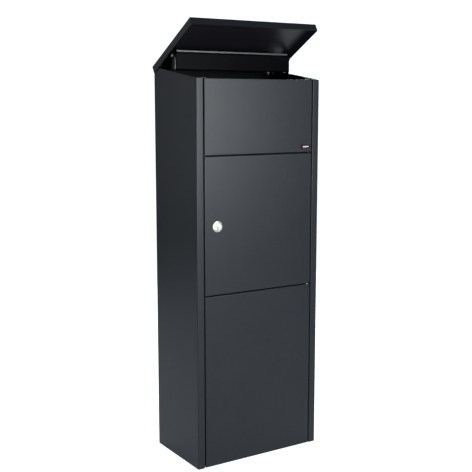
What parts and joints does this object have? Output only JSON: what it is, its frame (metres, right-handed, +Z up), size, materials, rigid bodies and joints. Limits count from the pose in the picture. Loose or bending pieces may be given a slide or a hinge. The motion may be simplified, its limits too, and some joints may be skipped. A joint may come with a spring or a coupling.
{
  "type": "parcel drop box",
  "caption": "Tall sheet steel parcel drop box with a sloping hinged lid, a locked front door, a hand guard and an anti-theft flap inside.",
  "frame": {"origin": "centre of the cabinet's underside, on the floor", "axes": "+Z up, -Y out of the front with the door, +X to the right as seen from the front"},
  "size_m": [0.4176, 0.2487, 1.2502],
  "materials": {
    "anthracite_powder_coat": "fine-textured satin powder coat",
    "inner_powder_coat": "thin matt powder coat on inner sheet",
    "zinc_plated_steel": "satin zinc plating",
    "nickel_plate": "bright nickel plate",
    "black_nylon": "matt moulded",
    "badge_enamel": "glossy domed label, blank"
  },
  "bodies": {
    "cabinet": {"back_panel": "anthracite_powder_coat", "base_pan": "inner_powder_coat", "compartment_floor": "inner_powder_coat", "door_buffer_1": "black_nylon", "door_buffer_2": "black_nylon", "door_buffer_3": "black_nylon", "door_hinge_bush_1": "zinc_plated_steel", "door_hinge_bush_2": "black_nylon", "door_hinge_pin_1": "zinc_plated_steel", "door_hinge_pin_2": "zinc_plated_steel", "fixed_leaf_rivet_1": "inner_powder_coat", "fixed_leaf_rivet_2": "inner_powder_coat", "fixed_leaf_rivet_3": "inner_powder_coat", "flap_bracket_left": "zinc_plated_steel", "flap_bracket_right": "zinc_plated_steel", "flap_buffer_1": "black_nylon", "flap_buffer_2": "black_nylon", "lid_hinge_fixed_leaf": "inner_powder_coat", "lid_hinge_pin": "zinc_plated_steel", "lower_cross_rail": "inner_powder_coat", "lower_front_panel": "anthracite_powder_coat", "name_badge": "badge_enamel", "rear_rail": "inner_powder_coat", "rim_hem_left": "inner_powder_coat", "rim_hem_right": "inner_powder_coat", "side_panel_left": "anthracite_powder_coat", "side_panel_right": "anthracite_powder_coat", "upper_cross_rail": "inner_powder_coat", "upper_front_panel": "anthracite_powder_coat"},
    "lid": {"guard_bracket_left": "inner_powder_coat", "guard_bracket_right": "inner_powder_coat", "lid_buffer_1": "black_nylon", "lid_buffer_2": "black_nylon", "lid_hinge_moving_leaf": "inner_powder_coat", "lid_rear_stiffener": "inner_powder_coat", "lid_shell": "anthracite_powder_coat", "moving_leaf_rivet_1": "inner_powder_coat", "moving_leaf_rivet_2": "inner_powder_coat", "moving_leaf_rivet_3": "inner_powder_coat"},
    "guard": {"guard_arm_left": "zinc_plated_steel", "guard_arm_right": "zinc_plated_steel", "guard_bar": "zinc_plated_steel", "guard_screw_left": "nickel_plate", "guard_screw_right": "nickel_plate", "guard_washer_left": "black_nylon", "guard_washer_right": "black_nylon", "hand_guard": "inner_powder_coat"},
    "flap": {"flap_crank_left": "zinc_plated_steel", "flap_crank_right": "zinc_plated_steel", "flap_shaft": "zinc_plated_steel", "retrieval_flap": "inner_powder_coat"},
    "door": {"door_panel": "anthracite_powder_coat", "door_stiffener": "inner_powder_coat", "lock_housing": "zinc_plated_steel", "lock_nut": "zinc_plated_steel", "lock_rosette": "nickel_plate"},
    "lock": {"cam_screw": "zinc_plated_steel", "lock_cam": "zinc_plated_steel", "lock_plug": "nickel_plate"}
  },
  "joints": [
    {"name": "lid_hinge", "type": "hinge", "parent": "cabinet", "child": "lid", "pos_m": [0, 0.1113, 1.1281], "axis": [-1, 0, 0], "range_deg": [-37.4, 37]},
    {"name": "guard_pivot", "type": "hinge", "parent": "lid", "child": "guard", "pos_m": [0, 0.02405, 1.1573], "axis": [-1, 0, 0], "range_deg": [-37.5, 37.5]},
    {"name": "flap_pivot", "type": "hinge", "parent": "cabinet", "child": "flap", "pos_m": [0, 0.1113, 1.0081], "axis": [-1, 0, 0], "range_deg": [-37.5, 37.5]},
    {"name": "door_hinge", "type": "hinge", "parent": "cabinet", "child": "door", "pos_m": [0.173, -0.114, 0.69], "axis": [0, 0, 1], "range_deg": [0, 105]},
    {"name": "lock_turn", "type": "hinge", "parent": "door", "child": "lock", "pos_m": [-0.14, -0.12, 0.69], "axis": [0, 1, 0], "range_deg": [0, 90]}
  ],
  "couplings": [
    {"joint": "guard_pivot", "follows": "lid_hinge", "ratio": -1},
    {"joint": "flap_pivot", "follows": "lid_hinge", "ratio": 1}
  ]
}
